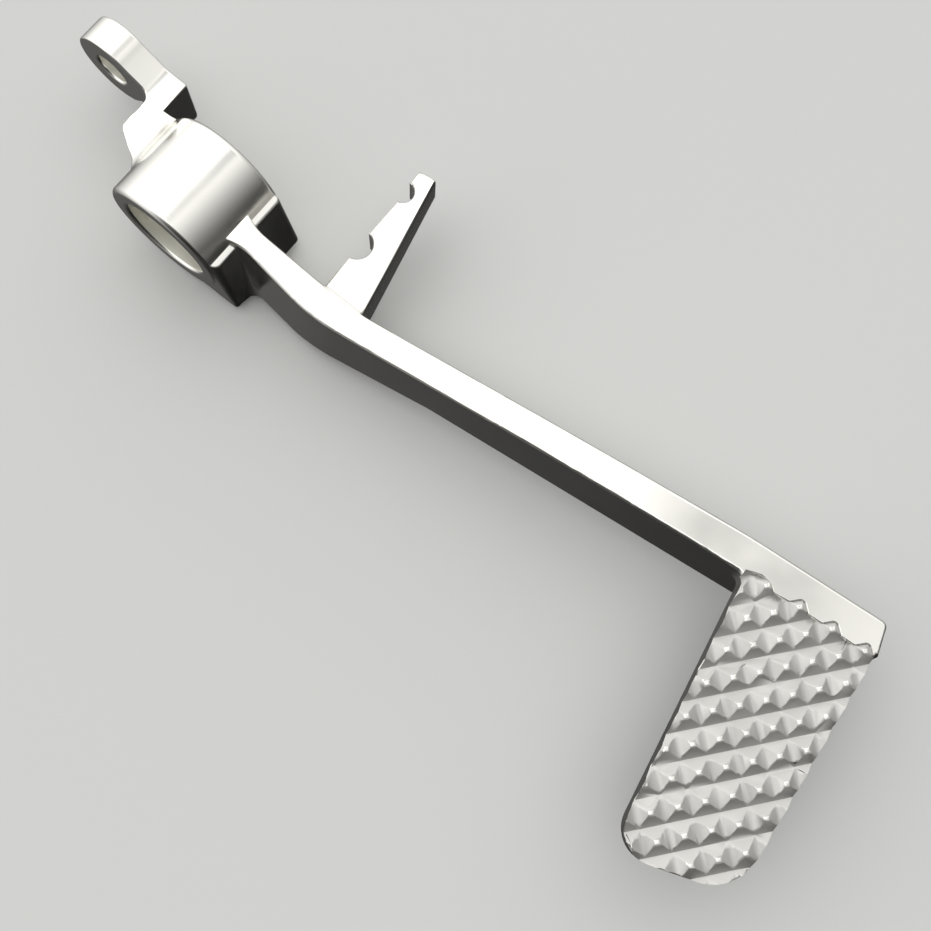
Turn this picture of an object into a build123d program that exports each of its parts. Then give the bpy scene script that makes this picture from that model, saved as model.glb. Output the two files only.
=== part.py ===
from build123d import *
from math import cos, radians, sin, sqrt, tan
import os

os.makedirs("parts", exist_ok=True)

# Frame: origin at the middle of the pivot bore, +Y along the pivot axis to the inboard side,
# +X forward to the toe pad, +Z up. All lengths in millimetres, angles in degrees.

# Overshoot of cutting and trimming shapes past what they cut, and the least gap told apart
trim_over = 5.0
trim_reach = 80.0
same_place = 0.01
least_run = 0.1

# Pivot hub
bore_d = 19.0
bore_lead = 0.5
hub_d = 26.8
hub_len = 20.7
hub_edge = 0.7

# Heel block on the front of the hub, under the arm root
heel_over = 3.4
heel_front = hub_d / 2 + heel_over
heel_floor = -11.4
heel_lean = 11.0
heel_brow_z = 4.2
heel_brow_r = 0.6
heel_top_angle = 20.5
heel_rear = 4.0
heel_inset = 0.3
heel_near_r = 2.2
heel_toe_r = 0.8
heel_far_r = 1.0
cove_r = 2.5
cove_leg = 3.75
cove_bury = 1.0
cove_sink = 0.05
cove_fade = 0.15

# Main reaches: pivot axis to the arm's tip, and hub middle out to the pad's free corner
arm_reach = 157.0
pad_reach = 47.9

# Arm: plan corners of the top edges, side profile and forging draft
arm_root_near = (6.0, -5.6)
arm_root_far = (6.0, 5.0)
arm_throat_near = (15.0, -2.36)
arm_throat_far = (15.0, 1.36)
arm_throat_r = 12.0
arm_knee_near = (34.0, -4.6)
arm_knee_far = (40.0, 0.7)
arm_turn_back = 31.0
arm_turn_far = (arm_reach - arm_turn_back, 12.8)
arm_knee_r = 45.0
arm_turn_r = 90.0
arm_tip_skew = 1.9
arm_tip_far = (arm_reach - arm_tip_skew, 15.6)
arm_tip_near = (arm_reach, 9.6)
arm_tip_r = 1.2
arm_draft = 6.0
arm_root_top = 6.5
arm_dip_x = 31.0
arm_dip_top = 5.1
arm_rise_x = 55.0
arm_rise_top = 6.2
arm_level_back = 31.0
arm_level_x = arm_reach - arm_level_back
arm_root_end = 30.0
arm_mid_x = 62.0
arm_mid_floor = -5.4
arm_pad_back = 25.0
arm_pad_x = arm_reach - arm_pad_back
arm_pad_floor = -3.2
arm_tip_floor = 1.5
arm_edge_r = 0.7

# Toe pad
pad_top = 10.0
pad_thick = 4.2
pad_inner_back = 27.8
pad_outer_back = 18.3
pad_outer_over = 3.8
pad_end_slant = 7.7
pad_inner_near = (arm_reach - pad_inner_back, 6.4)
pad_outer_near = (arm_reach - pad_outer_back, -pad_reach)
pad_outer_far = (arm_reach + pad_outer_over, pad_end_slant - pad_reach)
pad_near_r = 6.0
pad_far_r = 10.0
pad_bury = 3.0
pad_tip_bury = 1.0
pad_tip_step = 0.4
pad_corner_r = 2.0

# Stud field: square lattice of pyramids left between crossing V-grooves
stud_pitch = 5.0
stud_angle = 49.4
stud_origin_back = 7.9
stud_origin = (arm_reach - stud_origin_back, -12.8)
stud_flat = 0.9
stud_rows_each_way = 6
groove_floor = 0.1
groove_half_angle = 45.0
groove_over = 0.3
groove_length = 160.0
field_back = 28.4
field_over = 20.0
field_left = arm_reach - field_back
field_right = arm_reach + field_over
field_low = -pad_reach - field_over
end_stud_first = 1
end_studs = 4
end_stud_row = 6
tread_out = 1.3
tread_back = 1.65
tread_r = 1.0
first_tread_out = 0.9
first_tread_r = 3.0
field_left_top = 7.2

# Spring finger on the inboard side of the arm
finger_top = 3.2
finger_left = 31.4
finger_root_left = 32.0
finger_tip_left = 30.9
finger_tip_right = 34.8
finger_end = 33.3
finger_tip_skew = 0.6
finger_tip_r = 0.5
finger_base_right = 41.3
finger_base_y = 2.6
finger_flare = 1.0
finger_root_y = -2.0
finger_base_floor = -7.0
finger_tip_floor = -3.8
finger_edge = 0.4
finger_cove_y = 1.5
finger_cove_r = 1.4
notch_x = 31.0
notch_inner_y = 12.8
notch_inner_r = 3.2
notch_outer_y = 27.2
notch_outer_r = 2.3

# Push-rod lever: eye plate inboard of the hub and the stepped root on the hub
eye_x = -32.0
eye_z = 1.2
eye_r = 8.2
eye_shoulder = 17.0
eye_hole_d = 7.0
eye_hole_lead = 0.4
plate_near = 10.35
plate_far = 16.9
lever_top = 4.2
lever_neck_x = -21.0
lever_neck_r = 6.0
lever_floor = -3.6
lever_floor_end = -24.0
lever_root_floor = -8.2
lever_cove_r = 6.0
step_left = -20.6
step_near = 1.9
step_foot = (-14.0, -2.4)
step_root = (-10.5, -6.0)
step_inner_r = 2.2
step_outer_r = 2.4
step_foot_r = 4.0
lever_edge = 0.35


def sweep_y(outline, low, high):
    """Solid swept along Y from low to high with an outline drawn in X and Z."""
    return extrude(Plane.XZ.offset(-low) * outline, high - low, dir=(0, 1, 0))


def sweep_z(outline, low, high):
    """Solid swept up Z from low to high with an outline drawn in X and Y."""
    return extrude(Pos(0, 0, low) * outline, high - low, dir=(0, 0, 1))


def round_corners(outline, corners):
    """Outline with the listed (corner, radius) pairs rounded."""
    for point, radius in corners:
        outline = fillet(outline.vertices().sort_by_distance((*point, 0))[0], radius)
    return outline


def heel_plan(front, near_r):
    """Level section of the heel block, rounded at its front corners."""
    half = hub_len / 2 - heel_inset
    near = (front, -half)
    far = (front, half)
    plan = Polygon((0, -half), near, far, (0, half), align=None)
    return round_corners(plan, ((near, near_r), (far, heel_far_r)))


def make_hub():
    """Hub barrel with the flat-floored heel block grown from its front."""
    hub_r = hub_d / 2
    barrel = sweep_y(Circle(hub_r), -hub_len / 2, hub_len / 2)
    barrel = chamfer(barrel.edges().filter_by(GeomType.CIRCLE), hub_edge)
    lean = tan(radians(heel_lean))
    top = (hub_r * cos(radians(heel_top_angle)), hub_r * sin(radians(heel_top_angle)))
    brow = (heel_front - (heel_brow_z - heel_floor) * lean, heel_brow_z)
    fall = (top[1] - brow[1]) / (brow[0] - top[0])
    back = (hub_r / 2, brow[1] + fall * (brow[0] - hub_r / 2))
    front = (heel_front + trim_over, brow[1] - fall * (heel_front + trim_over - brow[0]))
    rise = back[1] + trim_over - heel_floor
    rounding = (heel_near_r - heel_toe_r) / (heel_brow_z - heel_floor)
    foot = Pos(0, 0, heel_floor) * heel_plan(heel_front, heel_toe_r)
    head = Pos(0, 0, heel_floor + rise) * heel_plan(heel_front - rise * lean, heel_toe_r + rise * rounding)
    below = 2 * heel_floor
    side = Polygon((0, 0), (2 * heel_rear, below), (front[0], below), front, back, align=None)
    heel = loft([foot, head], ruled=True) & sweep_y(side, -hub_len, hub_len)
    ledge = heel.faces().sort_by_distance(((brow[0] + top[0]) / 2, 0, (brow[1] + top[1]) / 2))[0]
    rim = ledge.edges().filter_by(lambda e: e.center().X > back[0] + same_place)
    return barrel + fillet(rim, heel_brow_r)


def cove_section(corner, slope, side, size):
    """Level section of a cove in a corner, its legs and radius shrunk by size."""
    x, y = corner
    leg = cove_leg * size
    bury = cove_bury * size
    outline = Polygon(
        (x - bury, y - side * bury),
        (x - bury, y + side * leg),
        (x, y + side * leg),
        (x, y),
        (x + leg, y + slope * leg),
        (x + leg, y + slope * leg - side * bury),
        align=None,
    )
    return round_corners(outline, ((corner, cove_r * size),))


def make_cove(throat, knee, side):
    """Cove in the corner of the heel's front and one wall of the arm, fading out up to the brow."""
    slope = (knee[1] - throat[1]) / (knee[0] - throat[0])
    lean = tan(radians(heel_lean))
    spread = side * tan(radians(arm_draft)) * sqrt(1 + slope**2)
    x = heel_front - cove_sink
    wall_y = throat[1] + slope * (heel_front - throat[0]) + spread * (pad_top - heel_floor)
    y = wall_y - side * cove_sink
    rise = heel_brow_z - heel_brow_r - heel_floor
    top = (x - lean * rise, y - (slope * lean + spread) * rise)
    foot = Pos(0, 0, heel_floor) * cove_section((x, y), slope, side, 1)
    head = Pos(0, 0, heel_floor + rise) * cove_section(top, slope, side, cove_fade)
    return loft([foot, head], ruled=True)


def make_arm():
    """Lever arm: drafted plan outline trimmed by its side profile."""
    outline = Polygon(
        arm_root_near,
        arm_throat_near,
        arm_knee_near,
        arm_tip_near,
        arm_tip_far,
        arm_turn_far,
        arm_knee_far,
        arm_throat_far,
        arm_root_far,
        align=None,
    )
    outline = round_corners(
        outline,
        (
            (arm_throat_near, arm_throat_r),
            (arm_throat_far, arm_throat_r),
            (arm_knee_near, arm_knee_r),
            (arm_knee_far, arm_knee_r),
            (arm_turn_far, arm_turn_r),
            (arm_tip_far, arm_tip_r),
        ),
    )
    depth = pad_top - heel_floor + trim_over
    bar = extrude(Pos(0, 0, pad_top) * outline, depth, dir=(0, 0, -1), taper=-arm_draft)
    tip_x = arm_tip_near[0] + trim_over
    crown = Spline(
        (arm_root_near[0], arm_root_top),
        (arm_dip_x, arm_dip_top),
        (arm_rise_x, arm_rise_top),
        (arm_level_x, pad_top),
        tangents=((1, 0), (1, 0)),
    )
    sole = Polyline(
        (arm_level_x, pad_top),
        (tip_x, pad_top),
        (tip_x, arm_tip_floor),
        (arm_pad_x, arm_pad_floor),
        (arm_mid_x, arm_mid_floor),
        (arm_root_end, heel_floor),
        (arm_root_near[0], heel_floor),
        (arm_root_near[0], arm_root_top),
    )
    side = make_face([*crown.edges(), *sole.edges()])
    return bar & sweep_y(side, -trim_reach, trim_reach)


def make_pad():
    """Toe pad plate, swept outboard and rounded at its free end."""
    left_run = (pad_inner_near[0] - pad_outer_near[0]) / (pad_inner_near[1] - pad_outer_near[1])
    right_run = (arm_tip_near[0] - pad_tip_step - pad_outer_far[0]) / (arm_tip_near[1] - pad_outer_far[1])
    outline = Polygon(
        (pad_inner_near[0] + pad_bury * left_run, pad_inner_near[1] + pad_bury),
        pad_outer_near,
        pad_outer_far,
        (arm_tip_near[0] - pad_tip_step + pad_tip_bury * right_run, arm_tip_near[1] + pad_tip_bury),
        (arm_tip_near[0] - pad_bury, arm_tip_near[1] + pad_bury),
        align=None,
    )
    outline = round_corners(outline, ((pad_outer_near, pad_near_r), (pad_outer_far, pad_far_r)))
    return sweep_z(outline, pad_top - pad_thick, pad_top)


def join_arm_and_pad():
    """Arm and pad as one, their inner corner filleted and all upper and rim edges softened."""
    body = make_arm() + make_pad()
    upright = body.edges().filter_by(lambda e: e.bounding_box().size.Z > pad_thick / 2)
    corner = upright.sort_by_distance((*pad_inner_near, pad_top - pad_thick / 2))[0]
    body = fillet(corner, pad_corner_r)
    edges = body.edges().filter_by(lambda e: min(v.Z for v in e.vertices()) > arm_dip_top - arm_edge_r)
    edges = edges.filter_by(lambda e: abs(e.center().Z - (pad_top - pad_thick)) > pad_thick / 4)
    edges = edges.filter_by(lambda e: e.bounding_box().size.X > least_run)
    return fillet(edges, arm_edge_r)


def lattice(i, j):
    """Plan position of a point of the stud lattice; whole numbers are stud tips."""
    along = (cos(radians(stud_angle)), sin(radians(stud_angle)))
    x = stud_origin[0] + stud_pitch * (i * along[0] + j * along[1])
    y = stud_origin[1] + stud_pitch * (i * along[1] - j * along[0])
    return (x, y)


def stud_field():
    """Region the grooves may reach: a staircase by the arm with one tread round each end stud."""
    steps = [(field_left, field_left_top)]
    corners = []
    for i in range(end_stud_first, end_stud_first + end_studs):
        j = i - end_stud_row
        first = i == end_stud_first
        out = (first_tread_out if first else tread_out) / stud_pitch
        back = tread_back / stud_pitch
        corner = lattice(i + out, j - out)
        corners.append((corner, first_tread_r if first else tread_r))
        if not first:
            steps.append(lattice(i - back, j - out))
        steps.append(corner)
        steps.append(lattice(i + out, j + back))
    region = Polygon(
        (field_left, field_low),
        (field_right, field_low),
        (field_right, steps[-1][1]),
        *reversed(steps),
        align=None,
    )
    return sweep_z(round_corners(region, corners), pad_top - pad_thick, pad_top + trim_over)


def groove(centre, heading):
    """One long V-groove through a plan point, along heading (degrees in plan)."""
    flank = tan(radians(groove_half_angle))
    depth = (stud_pitch - stud_flat - groove_floor) / 2 / flank
    mouth = groove_floor / 2 + (depth + groove_over) * flank
    section = Polygon(
        (-groove_floor / 2, -depth),
        (groove_floor / 2, -depth),
        (mouth, groove_over),
        (-mouth, groove_over),
        align=None,
    )
    frame = Plane(
        origin=(*centre, pad_top),
        x_dir=(-sin(radians(heading)), cos(radians(heading)), 0),
        z_dir=(cos(radians(heading)), sin(radians(heading)), 0),
    )
    return extrude(frame * section, groove_length / 2, both=True)


def cut_studs(body):
    """Body with both families of grooves cut, leaving the studs."""
    field = stud_field()
    middle = (1 - stud_rows_each_way) - 0.5
    rows = []
    columns = []
    for k in range(2 * stud_rows_each_way):
        rows.append(groove(lattice(0, middle + k), stud_angle) & field)
        columns.append(groove(lattice(middle + k - 1, 0), stud_angle - 90) & field)
    return body - rows - columns


def make_finger():
    """Tapered spring finger with two round notches in its hub-side edge."""
    tip_right = (finger_tip_right, finger_end)
    tip_left = (finger_tip_left, finger_end - finger_tip_skew)
    outline = Polygon(
        (finger_root_left, finger_root_y),
        (finger_base_right + finger_flare, finger_root_y),
        (finger_base_right, finger_base_y),
        tip_right,
        tip_left,
        (finger_tip_left, notch_outer_y),
        (finger_left, notch_outer_y),
        (finger_left, notch_inner_y),
        align=None,
    )
    outline -= Pos(notch_x, notch_inner_y) * Circle(notch_inner_r)
    outline -= Pos(notch_x, notch_outer_y) * Circle(notch_outer_r)
    outline = round_corners(outline, ((tip_right, finger_tip_r), (tip_left, finger_tip_r)))
    side = Polygon(
        (finger_root_y, finger_base_floor),
        (finger_end + trim_over, finger_tip_floor),
        (finger_end + trim_over, finger_top),
        (finger_cove_y + finger_cove_r, finger_top),
        (finger_cove_y + finger_cove_r, finger_top + finger_cove_r),
        (finger_root_y, finger_top + finger_cove_r),
        align=None,
    )
    side -= Pos(finger_cove_y + finger_cove_r, finger_top + finger_cove_r) * Circle(finger_cove_r)
    finger = sweep_z(outline, -trim_reach, trim_reach) & extrude(Plane.YZ * side, trim_reach, dir=(1, 0, 0))
    top_edges = finger.edges().filter_by(lambda e: min(v.Z for v in e.vertices()) > finger_top - same_place)
    free_edges = top_edges.filter_by(lambda e: e.bounding_box().size.Y > least_run)
    return chamfer(free_edges, finger_edge)


def make_lever():
    """Push-rod lever: side profile swept along Y, trimmed by the stepped plan outline."""
    cove_z = lever_top + lever_cove_r
    reach = hub_d / 2 + lever_cove_r
    cove_x = -sqrt(reach**2 - cove_z**2)
    meet = (cove_x * hub_d / 2 / reach, cove_z * hub_d / 2 / reach)
    web = Polygon(
        (eye_x, lever_floor),
        (lever_floor_end, lever_floor),
        (cove_x, lever_root_floor),
        (0, lever_root_floor),
        (0, 0),
        meet,
        (cove_x, cove_z),
        (cove_x, lever_top),
        (lever_neck_x, lever_top),
        (eye_x + eye_r * sin(radians(eye_shoulder)), eye_z + eye_r * cos(radians(eye_shoulder))),
        (eye_x, eye_z + eye_r),
        align=None,
    )
    web -= Pos(cove_x, cove_z) * Circle(lever_cove_r)
    web += Pos(eye_x, eye_z) * Circle(eye_r)
    web = round_corners(web, (((lever_neck_x, lever_top), lever_neck_r),))
    side = sweep_y(web, step_root[1] - trim_over, plate_far)
    end_x = eye_x - eye_r - trim_over
    inner = (step_left, plate_near)
    outer = (step_left, step_near)
    seat = hub_len / 2 - hub_edge
    plan = Polygon(
        (end_x, plate_near),
        inner,
        outer,
        step_foot,
        step_root,
        (0, step_root[1]),
        (0, seat),
        (cove_x, seat),
        (cove_x, plate_far),
        (end_x, plate_far),
        align=None,
    )
    plan = round_corners(
        plan,
        ((inner, step_inner_r), (outer, step_outer_r), (step_foot, step_foot_r)),
    )
    lever = side & sweep_z(plan, -trim_reach, trim_reach)
    far = lever.edges().filter_by(lambda e: abs(e.center().Y - plate_far) < same_place)
    return chamfer(far, lever_edge)


def on_circle(edge, radius):
    """True for a circular edge of the given radius."""
    return edge.geom_type == GeomType.CIRCLE and abs(edge.radius - radius) < same_place


def make_pedal():
    """The whole forging with its machined bores."""
    body = join_arm_and_pad() + make_hub()
    body += make_cove(arm_throat_near, arm_knee_near, -1)
    body += make_cove(arm_throat_far, arm_knee_far, 1)
    body = cut_studs(body + make_finger() + make_lever())
    body -= Rot(90, 0, 0) * Cylinder(bore_d / 2, trim_reach)
    body -= Pos(eye_x, 0, eye_z) * Rot(90, 0, 0) * Cylinder(eye_hole_d / 2, trim_reach)
    body = chamfer(body.edges().filter_by(lambda e: on_circle(e, bore_d / 2)), bore_lead)
    return chamfer(body.edges().filter_by(lambda e: on_circle(e, eye_hole_d / 2)), eye_hole_lead)


pedal = make_pedal()
export_step(pedal, "parts/brake_pedal.step")
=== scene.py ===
from math import cos, radians, sin

import bmesh
import bpy
from mathutils import Matrix, Vector
from mathutils.bvhtree import BVHTree
from mathutils.geometry import intersect_point_line


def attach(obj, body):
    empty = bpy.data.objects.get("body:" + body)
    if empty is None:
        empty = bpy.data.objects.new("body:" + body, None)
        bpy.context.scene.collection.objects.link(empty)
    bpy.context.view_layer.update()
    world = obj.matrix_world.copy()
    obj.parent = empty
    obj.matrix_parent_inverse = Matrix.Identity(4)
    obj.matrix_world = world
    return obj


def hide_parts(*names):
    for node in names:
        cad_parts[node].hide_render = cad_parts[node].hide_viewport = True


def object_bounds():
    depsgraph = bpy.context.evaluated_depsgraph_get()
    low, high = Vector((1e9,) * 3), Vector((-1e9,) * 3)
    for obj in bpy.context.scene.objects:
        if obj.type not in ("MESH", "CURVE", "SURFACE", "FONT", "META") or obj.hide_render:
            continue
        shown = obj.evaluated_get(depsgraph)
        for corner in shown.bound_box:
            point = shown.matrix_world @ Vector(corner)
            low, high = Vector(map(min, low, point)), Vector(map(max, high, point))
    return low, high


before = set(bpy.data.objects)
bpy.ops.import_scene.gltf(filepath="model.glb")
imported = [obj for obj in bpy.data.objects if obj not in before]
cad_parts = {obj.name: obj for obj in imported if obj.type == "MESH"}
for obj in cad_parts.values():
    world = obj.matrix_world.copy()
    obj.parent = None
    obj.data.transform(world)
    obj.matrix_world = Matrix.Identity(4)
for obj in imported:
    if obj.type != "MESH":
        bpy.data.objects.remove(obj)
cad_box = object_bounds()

# Pedal: one aluminium forging, polished bright after its bores and studs were cut. The buffing
# wheel rubs the sharp edges round and doesn't reach down between the toe pad's studs, so those
# grooves stay satin, and they are painted a darker grey as shade; the bores keep the boring tool's
# fine rings. It hangs on its pivot bore.
MERGE = 0.000001
FLAT_ANGLE = radians(0.4)
UP = Vector((0, 0, 1))
skin = bmesh.new()
skin.from_mesh(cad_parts["brake_pedal"].data)
bmesh.ops.remove_doubles(skin, verts=skin.verts, dist=MERGE)


def join_flat_faces():
    """Joins the faces of the skin that lie in one plane."""
    bmesh.ops.dissolve_limit(
        skin,
        angle_limit=FLAT_ANGLE,
        use_dissolve_boundaries=False,
        verts=skin.verts,
        edges=skin.edges,
    )


# The narrow floors of the stud grooves close up to a line. Where a floor ends in the pad's wall,
# its end slides along that wall, so that the wall stays flat.
PAD_START = 0.125
STUD_ORIGIN = Vector((0.1491, -0.0128, 0))
STUD_PITCH = 0.005
STUD_TURN = radians(49.4)
ALONG = Vector((cos(STUD_TURN), sin(STUD_TURN), 0))
ACROSS = Vector((sin(STUD_TURN), -cos(STUD_TURN), 0))
GROOVE_Z = 0.008
GROOVE_HALF = 0.00006
MERGE_FLOORS = 0.000004
UPRIGHT = 0.05
WALL_SLANT = 0.3
for vert in skin.verts:
    if vert.co.x > PAD_START and abs(vert.co.z - GROOVE_Z) < GROOVE_HALF:
        walls = [face for face in vert.link_faces if abs(face.normal.z) < UPRIGHT]
        widest = max(walls, key=lambda face: face.calc_area(), default=None)
        facing = widest.normal.copy() if widest else Vector()
        for way, other in ((ALONG, ACROSS), (ACROSS, ALONG)):
            off = (vert.co - STUD_ORIGIN).dot(way) % STUD_PITCH - STUD_PITCH / 2
            if abs(off) < GROOVE_HALF:
                vert.co -= off * way
                if abs(facing.dot(other)) > WALL_SLANT:
                    vert.co += off * facing.dot(way) / facing.dot(other) * other
bmesh.ops.remove_doubles(skin, verts=skin.verts, dist=MERGE_FLOORS)
bmesh.ops.dissolve_degenerate(skin, dist=MERGE, edges=skin.edges)
join_flat_faces()

# The grooves between the rows are straight-sided and open. The cross grooves between the studs of
# a row are shallower and round-bottomed, so each row keeps one unbroken line at its foot.
STUD_TOP = 0.01
STUD_NEAR = 0.00006
ROW_FALL = 0.64
CROSS_OUT = (0.00045, 0.0015, 0.002, 0.0025)
CROSS_DEEP = (0.0, 0.0005, 0.0007, 0.0008)
STUD_HALF = CROSS_OUT[0]
FLANK_LOW = 0.3
FLANK_HIGH = 0.95
BORED = 1
SATIN_SHADED = 2


def from_stud(point):
    """How far a point lies from the nearest stud's middle, along and across the rows."""
    steps = [(point - STUD_ORIGIN).dot(way) / STUD_PITCH for way in (ALONG, ACROSS)]
    return [(step - round(step)) * STUD_PITCH for step in steps]


def in_groove(vert):
    """True where a vertex lies on the grooves as the solid has them, falling at 45 degrees."""
    fall = max(max(abs(off) for off in from_stud(vert.co)) - STUD_HALF, 0)
    return vert.co.x > PAD_START and abs(STUD_TOP - fall - vert.co.z) < STUD_NEAR


def is_flank(face):
    """True for a sloping face of the stud grooves."""
    return FLANK_LOW < face.normal.z < FLANK_HIGH and all(in_groove(vert) for vert in face.verts)


def stretch(off):
    """Which stretch of a cross groove's wall, from one bend to the next, lies at a distance."""
    return max(k for k in range(len(CROSS_OUT) - 1) if k == 0 or off > CROSS_OUT[k])


def cross_depth(off):
    """Depth of a cross groove's wall at a distance from the stud's middle."""
    k = stretch(off)
    share = (off - CROSS_OUT[k]) / (CROSS_OUT[k + 1] - CROSS_OUT[k])
    return max(CROSS_DEEP[k] + share * (CROSS_DEEP[k + 1] - CROSS_DEEP[k]), 0)


def split(pieces, point, facing):
    """Cuts faces of the skin along a plane and gives what comes of them."""
    geom = dict.fromkeys(part for piece in pieces for part in (piece, *piece.edges, *piece.verts))
    cut = bmesh.ops.bisect_plane(
        skin, geom=list(geom), dist=MERGE, plane_co=point, plane_no=facing
    )
    return [part for part in cut["geom"] if isinstance(part, bmesh.types.BMFace)]


flanks = [face for face in skin.faces if is_flank(face)]
# The groove flanks take the satin metal, whose darker grey colour is painted shade in the grooves.
for face in flanks:
    face.material_index = SATIN_SHADED
for face in flanks:
    middle = face.calc_center_median()
    along, across = from_stud(middle)
    if abs(along) < abs(across):
        continue
    stud = middle - along * ALONG - across * ACROSS
    out = ALONG if along > 0 else -ALONG
    pieces = [face]
    for off in CROSS_OUT[1:-1]:
        pieces = split(pieces, stud + off * out, out)
    for piece in pieces:
        k = stretch((piece.calc_center_median() - stud).dot(out))
        parts = [piece]
        for way in (ACROSS, -ACROSS):
            low, high = (
                stud + CROSS_OUT[n] * out + (STUD_HALF + CROSS_DEEP[n] / ROW_FALL) * way
                for n in (k, k + 1)
            )
            parts = split(parts, low, (high - low).cross(UP).normalized())
for vert in {vert for face in skin.faces if face.material_index == SATIN_SHADED for vert in face.verts}:
    along, across = (abs(off) for off in from_stud(vert.co))
    vert.co.z = STUD_TOP - max(cross_depth(along), ROW_FALL * (across - STUD_HALF), 0)
join_flat_faces()

# The pad's long walls are cut into short faces, so that none runs thin from a groove's end.
WALL_CORNERS = 8
WALL_MIDDLE = 0.0075
WALL_STEP = 0.0025
walls = [
    face
    for face in skin.faces
    if abs(face.normal.z) < UPRIGHT
    and len(face.verts) > WALL_CORNERS
    and face.calc_center_median().x > PAD_START
]
for face in walls:
    run = face.normal.cross(UP).normalized()
    ends = sorted(vert.co.dot(run) for vert in face.verts)
    pieces = split([face], WALL_MIDDLE * UP, UP)
    mark = ends[0] + WALL_STEP
    while mark < ends[-1] - WALL_STEP / 2:
        pieces = split(pieces, mark * run, run)
        mark += WALL_STEP

# The pivot bore and the push-rod eye are left as the boring tool made them.
BORE_RADIUS = 0.0096
EYE_CENTRE = Vector((-0.032, 0, 0.0012))
EYE_RADIUS = 0.0036


def within(face, centre, radius):
    """True for a face that lies inside a round hole along Y."""
    spokes = (vert.co - centre for vert in face.verts)
    return all(Vector((spoke.x, 0, spoke.z)).length < radius for spoke in spokes)


for face in skin.faces:
    face.smooth = True
    if within(face, Vector(), BORE_RADIUS) or within(face, EYE_CENTRE, EYE_RADIUS):
        face.material_index = BORED

# Every sharp outer edge is rubbed round, and less so where it has little room beside it.
EDGE_ANGLE = radians(24)
EDGE_ROUND = 0.00035
EDGE_SHARE = 0.45
EDGE_LEAST = 0.2
SAME_WAY = -0.5


def run_on(edge, other, vert):
    """True where another edge carries the edge on past the vertex in nearly the same direction."""
    ahead = edge.other_vert(vert).co - vert.co
    beyond = other.other_vert(vert).co - vert.co
    return ahead.normalized().dot(beyond.normalized()) < SAME_WAY


rubbed = skin.edges.layers.float.new("bevel_weight_edge")
keen = {edge for edge in skin.edges if edge.calc_face_angle() > EDGE_ANGLE and edge.is_convex}
for edge in skin.edges:
    edge.smooth = edge.calc_face_angle() < EDGE_ANGLE
for edge in keen:
    room = [
        other.calc_length()
        for vert in edge.verts
        for other in vert.link_edges
        if other != edge and not (other in keen and run_on(edge, other, vert))
    ]
    share = min(1.0, EDGE_SHARE * min(room, default=EDGE_ROUND / EDGE_SHARE) / EDGE_ROUND)
    edge[rubbed] = share if share > EDGE_LEAST else 0.0


def linear(hex_colour):
    """An sRGB hex colour as linear red, green, blue and full alpha."""
    channels = [int(hex_colour[i:i + 2], 16) / 255 for i in (1, 3, 5)]
    curve = [c / 12.92 if c <= 0.04045 else ((c + 0.055) / 1.055) ** 2.4 for c in channels]
    return (*curve, 1.0)


def add(tree, kind, inputs, **settings):
    """A shader node with its settings, its socket values and its incoming links."""
    node = tree.nodes.new(kind)
    for name, value in settings.items():
        setattr(node, name, value)
    for name, value in inputs.items():
        if isinstance(value, bpy.types.NodeSocket):
            tree.links.new(value, node.inputs[name])
        else:
            node.inputs[name].default_value = value
    return node


# Handling leaves bare metal a little duller in patches about 11 mm wide: 90 to the metre.
HAZE = 90.0


def aluminium(name, colour, gloss, grain, depth):
    """Bare aluminium: its roughness from and to, grain marks to the metre on X, Y, Z, and depth."""
    material = bpy.data.materials.new(name)
    material.use_nodes = True
    tree = material.node_tree
    tree.nodes.clear()
    place = add(tree, "ShaderNodeTexCoord", {}).outputs["Object"]
    haze = add(tree, "ShaderNodeTexNoise", {"Vector": place, "Scale": HAZE, "Detail": 3.0})
    rough = add(
        tree,
        "ShaderNodeMapRange",
        {
            "Value": haze.outputs["Fac"],
            "From Min": 0.3,
            "From Max": 0.7,
            "To Min": gloss[0],
            "To Max": gloss[1],
        },
    )
    spread = add(tree, "ShaderNodeMapping", {"Vector": place, "Scale": grain}).outputs["Vector"]
    marks = add(tree, "ShaderNodeTexNoise", {"Vector": spread, "Scale": 1.0, "Detail": 2.0})
    relief = add(
        tree,
        "ShaderNodeBump",
        {"Height": marks.outputs["Fac"], "Strength": 1.0, "Distance": depth},
    )
    metal = add(
        tree,
        "ShaderNodeBsdfPrincipled",
        {
            "Base Color": linear(colour),
            "Metallic": 1.0,
            "Roughness": rough.outputs["Result"],
            "Normal": relief.outputs["Normal"],
        },
    )
    add(tree, "ShaderNodeOutputMaterial", {"Surface": metal.outputs["BSDF"]})
    return material


# Polished aluminium, buffed on a mop with bright paste: a mirror under a soft haze, with faint
# lines along the arm. The real lines are about 0.05 mm wide; they are drawn 0.4 mm wide and 8 mm
# long, so that they show.
polished = aluminium("polished_aluminium", "#F1F0EC", (0.18, 0.26), (120, 2600, 2600), 0.000004)
# Bored aluminium, cut by a boring tool: dull, with fine rings round the hole. The real feed is
# about 0.1 mm a turn; the rings are drawn 0.24 mm apart, so that they show.
bored = aluminium("bored_aluminium", "#EDECE4", (0.46, 0.54), (60, 4200, 60), 0.000018)
# Satin aluminium, the grooves between the studs, cut and then missed by the mop: an even sheen
# with no clear mirror. Its colour is a darker grey than the polished metal's, painted shade for the
# grooves. The real grain is about 0.1 mm; it is drawn 0.4 mm wide, so that it shows.
satin_shaded = aluminium("satin_aluminium_painted_shade", "#C4C3C1", (0.46, 0.54), (2500, 2500, 2500), 0.000012)
pedal_mesh = bpy.data.meshes.new("polished_pedal")
for metal in (polished, bored, satin_shaded):
    pedal_mesh.materials.append(metal)
pedal = bpy.data.objects.new("polished_pedal", pedal_mesh)
bpy.context.scene.collection.objects.link(pedal)

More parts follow.
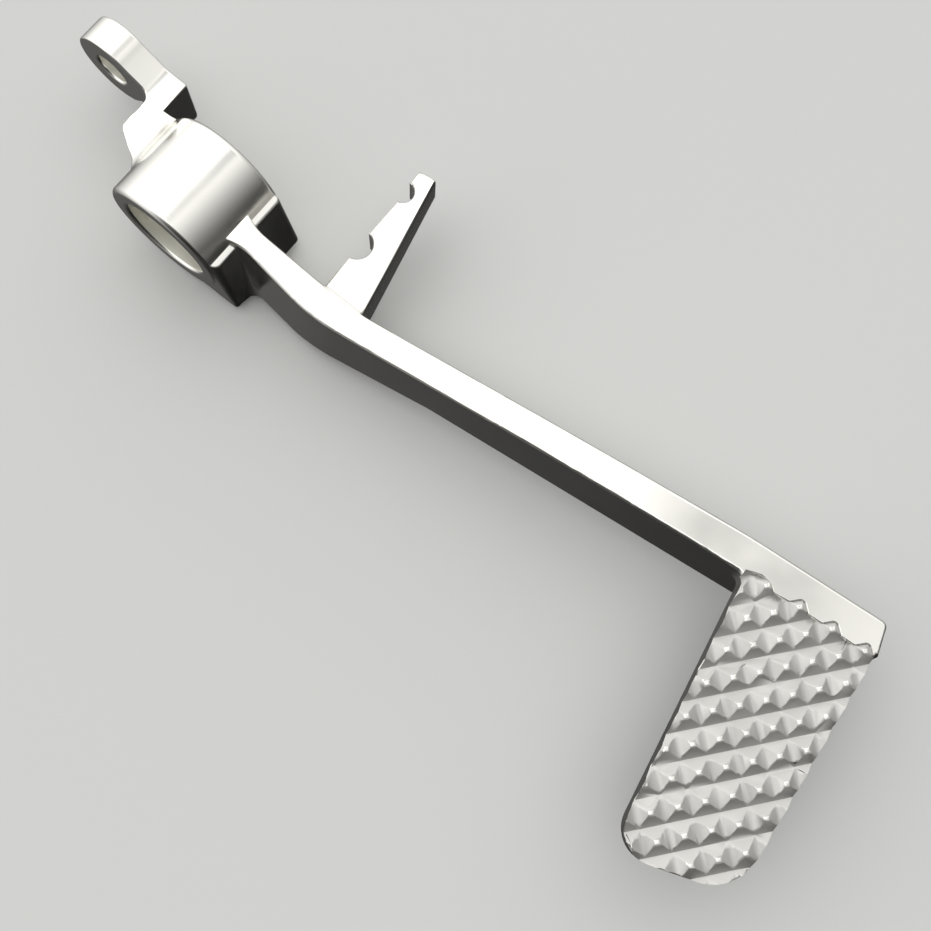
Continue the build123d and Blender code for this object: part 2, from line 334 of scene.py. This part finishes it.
# The edges are rounded by a bevel. Where crowded edges would throw it off the metal, those near
# by keep their sharpness, in a circle that widens until the rounded skin lies on the plain one.
STRAY = 0.00008
STRAY_DEEP = 0.0002
STRAY_REACH = 0.0005
STRAY_WIDER = 1.5
SPLIT_ANGLE = radians(38)


def apart(point, edge):
    """Distance of a point from an edge."""
    low, high = (vert.co for vert in edge.verts)
    share = intersect_point_line(point, low, high)[1]
    return (point - low.lerp(high, min(max(share, 0), 1))).length


rounding = pedal.modifiers.new("rubbed_edges", "BEVEL")
rounding.limit_method = "WEIGHT"
rounding.width = EDGE_ROUND
rounding.segments = 3
rounding.profile = 0.5
rounding.use_clamp_overlap = False
surface = BVHTree.FromBMesh(skin)
reach = STRAY_REACH
strays = [None]
while strays:
    skin.to_mesh(pedal_mesh)
    pedal_mesh.update()
    rounded = bmesh.new()
    rounded.from_object(pedal, bpy.context.evaluated_depsgraph_get())
    strays = []
    for vert in rounded.verts:
        foot, normal, _, gap = surface.find_nearest(vert.co)
        if (vert.co - foot).dot(normal) > STRAY or gap > STRAY_DEEP:
            strays.append((foot, gap))
    for edge in keen:
        if edge[rubbed] and any(apart(foot, edge) < reach + gap for foot, gap in strays):
            edge[rubbed] = 0.0
    reach *= STRAY_WIDER
pedal.modifiers.remove(rounding)
for edge in rounded.edges:
    edge.smooth = edge.calc_face_angle() < SPLIT_ANGLE
for vert in rounded.verts:
    vert.co = [min(max(vert.co[k], cad_box[0][k]), cad_box[1][k]) for k in range(3)]
rounded.to_mesh(pedal_mesh)
rounded.free()
skin.free()
flat_faces = pedal.modifiers.new("flat_faces", "WEIGHTED_NORMAL")
flat_faces.keep_sharp = True
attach(pedal, "root")
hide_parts("brake_pedal")

# Floor: a plain pale sheet that the hub's underside touches, clear from below so that the underside
# shows. Polished metal would mirror it all over its sides, so the gloss leaves it out.
FLOOR_HALF = 3.0
floor_mesh = bpy.data.meshes.new("floor")
sheet = bmesh.new()
bmesh.ops.create_grid(sheet, x_segments=1, y_segments=1, size=FLOOR_HALF)
bmesh.ops.translate(sheet, verts=sheet.verts, vec=(0, 0, cad_box[0][2]))
sheet.to_mesh(floor_mesh)
sheet.free()
floor = bpy.data.objects.new("floor", floor_mesh)
bpy.context.scene.collection.objects.link(floor)
floor.visible_glossy = False
# Pale matt paint, rolled on: an even light grey with no shine.
paint = bpy.data.materials.new("pale_paint")
paint.use_nodes = True
tree = paint.node_tree
tree.nodes.clear()
under = add(tree, "ShaderNodeNewGeometry", {}).outputs["Backfacing"]
matt = add(tree, "ShaderNodeBsdfDiffuse", {"Color": linear("#CDCECE")}).outputs["BSDF"]
clear = add(tree, "ShaderNodeBsdfTransparent", {}).outputs["BSDF"]
one_way = add(tree, "ShaderNodeMixShader", {0: under, 1: matt, 2: clear}).outputs["Shader"]
add(tree, "ShaderNodeOutputMaterial", {"Surface": one_way})
floor_mesh.materials.append(paint)

# Backdrop: a pale dome beyond the floor, which only the lens sees. It takes no part in the light,
# so the views from the side have one plain ground behind them.
DOME_RADIUS = 4.5
dome_mesh = bpy.data.meshes.new("backdrop")
shell = bmesh.new()
bmesh.ops.create_uvsphere(shell, u_segments=48, v_segments=24, radius=DOME_RADIUS)
shell.to_mesh(dome_mesh)
shell.free()
dome = bpy.data.objects.new("backdrop", dome_mesh)
bpy.context.scene.collection.objects.link(dome)
dome.visible_diffuse = False
dome.visible_glossy = False
dome.visible_transmission = False
dome.visible_shadow = False
# Pale cloth, stretched and lit evenly from behind: one flat light grey with no shade or seam.
glow = bpy.data.materials.new("pale_glow")
glow.use_nodes = True
tree = glow.node_tree
tree.nodes.clear()
pale = add(tree, "ShaderNodeEmission", {"Color": linear("#CFCFCD"), "Strength": 1.0})
add(tree, "ShaderNodeOutputMaterial", {"Surface": pale.outputs["Emission"]})
dome_mesh.materials.append(glow)

# Light: a white studio tent, bright overhead and behind the hub, dim toward the toe pad and below
# the table. A small dim patch in its roof and a wide dim one low on the outboard side give the
# polished faces some grey to mirror.
BRIGHT_SIDE = Vector((-0.966, 0.259, 0))
ROOF_PATCH = Vector((0.13, 0.274, 0.953))
LOW_PATCH = Vector((0.38, -0.85, 0.36))
ROOF_FOCUS = 1.6
ROOF_LIGHT = 0.95
tent = bpy.data.worlds.new("studio_tent")
tent.use_nodes = True
tree = tent.node_tree
tree.nodes.clear()
toward = add(tree, "ShaderNodeTexCoord", {}).outputs["Generated"]
up = add(tree, "ShaderNodeSeparateXYZ", {"Vector": toward}).outputs["Z"]
side = add(tree, "ShaderNodeVectorMath", {0: toward, 1: BRIGHT_SIDE}, operation="DOT_PRODUCT")
walls = add(
    tree,
    "ShaderNodeMapRange",
    {
        "Value": side.outputs["Value"],
        "From Min": -0.8,
        "From Max": 0.8,
        "To Min": 0.06,
        "To Max": 1.2,
    },
    interpolation_type="SMOOTHSTEP",
).outputs["Result"]
table = add(
    tree,
    "ShaderNodeMapRange",
    {"Value": up, "From Min": -0.7, "From Max": 0.1, "To Min": 0.1, "To Max": 1.0},
).outputs["Result"]
above = add(tree, "ShaderNodeMath", {0: up, 1: 0.0}, operation="MAXIMUM").outputs["Value"]
roof = add(tree, "ShaderNodeMath", {0: above, 1: ROOF_FOCUS}, operation="POWER").outputs["Value"]
lit = add(tree, "ShaderNodeMath", {0: walls, 1: table}, operation="MULTIPLY").outputs["Value"]
whole = add(tree, "ShaderNodeMath", {0: roof, 1: ROOF_LIGHT, 2: lit}, operation="MULTIPLY_ADD")
strength = whole.outputs["Value"]
for patch, rim, core, least in ((ROOF_PATCH, 0.985, 0.996, 0.4), (LOW_PATCH, 0.65, 0.9, 0.15)):
    near = add(tree, "ShaderNodeVectorMath", {0: toward, 1: patch}, operation="DOT_PRODUCT")
    dim = add(
        tree,
        "ShaderNodeMapRange",
        {
            "Value": near.outputs["Value"],
            "From Min": rim,
            "From Max": core,
            "To Min": 1.0,
            "To Max": least,
        },
    ).outputs["Result"]
    part = add(tree, "ShaderNodeMath", {0: strength, 1: dim}, operation="MULTIPLY")
    strength = part.outputs["Value"]
white = add(tree, "ShaderNodeBackground", {"Color": linear("#FFFEFB"), "Strength": strength})
add(tree, "ShaderNodeOutputWorld", {"Surface": white.outputs["Background"]})
bpy.context.scene.world = tent
bpy.context.scene.view_settings.view_transform = "Standard"

# Camera: a 43 mm lens above the outboard side, looking steeply down, and rolled so that the pedal
# lies in the frame as it does in the photograph.
CAMERA_PLACE = Vector((0.09406, -0.04773, 0.21319))
CAMERA_FORWARD = Vector((-0.0854, 0.1814, -0.9797))
CAMERA_UP = Vector((-0.6176, 0.762, 0.1949))
CAMERA_LENS = 43.3
forward = CAMERA_FORWARD.normalized()
right = forward.cross(CAMERA_UP).normalized()
turn = Matrix((right, right.cross(forward), -forward)).transposed().to_4x4()
lens = bpy.data.cameras.new("camera")
lens.sensor_width = 36.0
lens.lens = CAMERA_LENS
lens.clip_start = 0.01
camera = bpy.data.objects.new("camera", lens)
camera.matrix_world = Matrix.Translation(CAMERA_PLACE) @ turn
bpy.context.scene.collection.objects.link(camera)
bpy.context.scene.camera = camera
